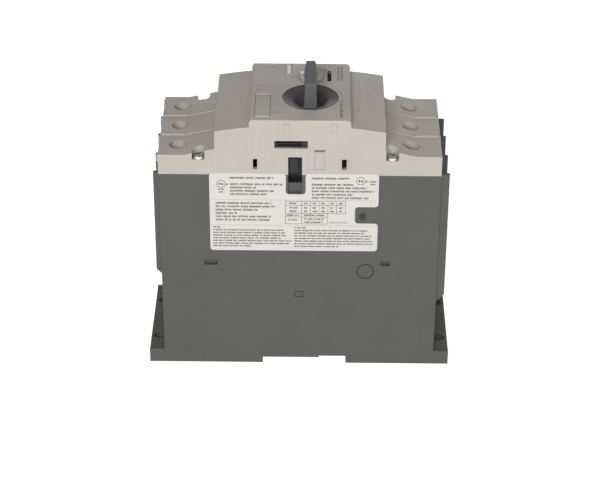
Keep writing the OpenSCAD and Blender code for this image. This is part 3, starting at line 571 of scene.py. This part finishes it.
def caption_top(work):
    """Two rows of dashes to the right of the setting dial."""
    raised_dashes(work, 16.5, 17.7, 24.5, 10.4, 3, 0.85)
    raised_dashes(work, 18.1, 19.2, 24.5, 10.4, 4, 0.85)


def caption_side(work):
    """A row of dashes on the near right of the plateau, and a small square behind it."""
    raised_dashes(work, 17.5, 18.9, -11.5, -24.8, 8, 0.8)
    corners = ((17.6, -8.4), (18.8, -8.4), (18.8, -9.9), (17.6, -9.9))
    raised_strokes(work, [(*corners[i - 1], *corners[i]) for i in range(4)])


def handle_positions(work):
    """Plain strokes: two bars beside the marker plate, and two marks left of the dish."""
    raised_strokes(work, ((-11.6, -18.4, -11.6, -21.4), (-9.6, -18.4, -9.6, -21.4)))
    raised_strokes(work, ((-19.3, 0.9, -19.3, 2.3), (-19.3, 4.4, -18.5, 5.8)), 0.35)


def dial_scale(work):
    """Ticks around the setting dial, but none where the handle's dish is."""
    x, y = DIAL
    for i in range(9):
        angle = math.radians(192 - 30 * i)
        inner, outer = 8.2, 8.9 if i % 2 else 9.3
        start, end = ((x + r * math.cos(angle), y + r * math.sin(angle)) for r in (inner, outer))
        if end[1] > 8.5:
            raised_strokes(work, [(*start, *end)], 0.25)


def white_dot(work):
    """A small domed dot of paint on the handle's near end."""
    x, y, z = HANDLE_DOT
    rows = [[work.verts.new(mm(x + a, y + out, z + b)) for a, b in circle(radius, 20)]
            for radius, out in ((0.2, -0.15), (0.36, -0.1), (0.45, -0.02), (0.47, 0.12))]
    tip = work.verts.new(mm(x, y - 0.16, z))
    for i in range(len(rows[0])):
        work.faces.new((tip, rows[0][i - 1], rows[0][i]))
    for row, other in zip(rows, rows[1:]):
        join_rows(work, row, other)
    work.faces.new(rows[-1])


def dial_pointer(work):
    """A white cap on the setting dial's pointer, a little longer along Y."""
    x, y = DIAL_POINTER
    rows = [[work.verts.new(mm(x + a, y + 1.15 * b, z)) for a, b in circle(radius, 24)]
            for radius, z in ((0.98, 130.18), (0.98, 130.5), (0.85, 130.66), (0.5, 130.74))]
    for row, other in zip(rows, rows[1:]):
        join_rows(work, row, other)
    work.faces.new(rows[-1])
    work.faces.new(rows[0][::-1])


def screw_recess_shade(work):
    """Painted shade: dark crosses at the bottom of the cover screws' recesses, where shade falls; one arm is
    a hair thicker.
    """
    for x, y in SCREWS:
        middle = Vector((x, y, SCREW_RECESS_Z))
        for degrees, thick in ((20, 0.25), (110, 0.26)):
            turn = math.radians(degrees)
            along = Vector((math.cos(turn), math.sin(turn), 0)) * 1.6
            side = Vector((-math.sin(turn), math.cos(turn), 0)) * 0.44
            outline = [middle - along - side, middle + along - side, middle + along + side,
                       middle - along + side]
            add_prism(work, outline, (0, 0, thick))


def slope_highlight(work):
    """Painted highlight: a pale strip on the sloping bar beside the setting dial, where the slope catches
    the light.
    """
    left, width = -6.2, 1.4
    (y0, z0), (y1, z1) = (17.4, PLATEAU_Z + 0.16), (23.6, PLATEAU_Z + 1.09)
    outline = [(left, y0, z0 - 0.1), (left, y1, z1 - 0.1), (left, y1, z1 + 0.05), (left, y0, z0 + 0.05)]
    add_prism(work, outline, (width, 0, 0))


def shoulder_hole_shade(work):
    """Painted shade: dark discs in the small holes of the shoulder, where shade falls."""
    for x, y in SHOULDER_HOLES:
        outline = [(x + a, y + b, SHOULDER_HOLE_Z) for a, b in circle(0.68, 16)]
        add_prism(work, outline, (0, 0, 0.12))


def face_groove_shade(work):
    """Painted shade: dark lines in the two grooves of the near face, and a dark disc in the hole of the
    label's notch, where shade falls.
    """
    bottom = NEAR_Y + 0.34
    x, z = KNOCKOUT_RING
    add_ring(work, (x, bottom, z), 3.95, 0.4, 0.2)
    (x0, z0), (x1, z1) = TEST_SQUARE
    line = 0.3
    for low, high in (((x0, z0), (x1, z0 + line)), ((x0, z1 - line), (x1, z1)),
                      ((x0, z0 + line), (x0 + line, z1 - line)), ((x1 - line, z0 + line), (x1, z1 - line))):
        add_block(work, (low[0], bottom, low[1]), (high[0], bottom + 0.1, high[1]))
    x, z = CLIP_HOLE
    add_prism(work, [(x + a, bottom, z + b) for a, b in circle(1.6, 24)], (0, 0.08, 0))


def add_marks():
    new_piece("caption_top", caption_top, "mark_ink")
    new_piece("caption_side", caption_side, "mark_ink")
    new_piece("handle_positions", handle_positions, "mark_ink")
    new_piece("dial_scale", dial_scale, "mark_ink")
    new_piece("handle_dot", white_dot, "white_paint", "handle")
    new_piece("dial_pointer", dial_pointer, "white_paint", "setting_dial")
    # Painted shade in the screw heads, a painted highlight on the sloping bar, and painted shade in the
    # shoulder holes and the near face's grooves
    new_piece("screw_recess_shade", screw_recess_shade, "ink")
    new_piece("slope_highlight", slope_highlight, "white_paint")
    new_piece("shoulder_hole_shade", shoulder_hole_shade, "ink")
    new_piece("face_groove_shade", face_groove_shade, "ink")


# ---------------------------------------------------------------- floor and light

def add_floor():
    """A plain pale floor, just under the part; it glows a little, so that it stays white in the picture."""
    mesh = bpy.data.meshes.new("floor")
    half = 3.0
    corners = [(-half, -half, 0), (half, -half, 0), (half, half, 0), (-half, half, 0)]
    mesh.from_pydata(corners, [], [(0, 1, 2, 3)])
    floor = bpy.data.objects.new("floor", mesh)
    bpy.context.scene.collection.objects.link(floor)
    s = Shader("floor")
    s.bsdf.inputs["Base Color"].default_value = (0.3, 0.3, 0.3, 1)
    s.bsdf.inputs["Roughness"].default_value = 0.9
    s.bsdf.inputs["Specular IOR Level"].default_value = 0
    s.bsdf.inputs["Emission Color"].default_value = (1, 1, 1, 1)
    s.bsdf.inputs["Emission Strength"].default_value = 0.92
    mesh.materials.append(s.material)
    floor.location.z = cad_box[0].z - 0.0002


def add_area_light(name, azimuth, elevation, distance, size, power):
    """A soft square light that points at the middle of the object."""
    data = bpy.data.lights.new(name, "AREA")
    data.shape = "SQUARE"
    data.size = size
    data.energy = power
    lamp = bpy.data.objects.new(name, data)
    bpy.context.scene.collection.objects.link(lamp)
    middle = (cad_box[0] + cad_box[1]) / 2
    back = towards(math.radians(azimuth), math.radians(elevation))
    lamp.location = middle + back * distance
    lamp.rotation_euler = back.to_track_quat("Z", "Y").to_euler()


def add_light():
    """A bright even room, the main light on the camera's side, and two weak ones at the right and behind."""
    world = bpy.data.worlds.new("room")
    bpy.context.scene.world = world
    world.use_nodes = True
    background = world.node_tree.nodes["Background"]
    background.inputs["Color"].default_value = (0.97, 0.985, 1, 1)
    background.inputs["Strength"].default_value = 0.29
    add_area_light("key", -8, 30, 1.6, 0.7, 32)
    add_area_light("right", 82, 16, 1.4, 0.5, 6)
    add_area_light("back", 180, 10, 1.6, 0.9, 3.5)
    bpy.context.scene.view_settings.view_transform = "Standard"


# ---------------------------------------------------------------- the scene

add_camera()
finish_cad_nodes()
add_label_print()
add_marks()
add_floor()
add_light()
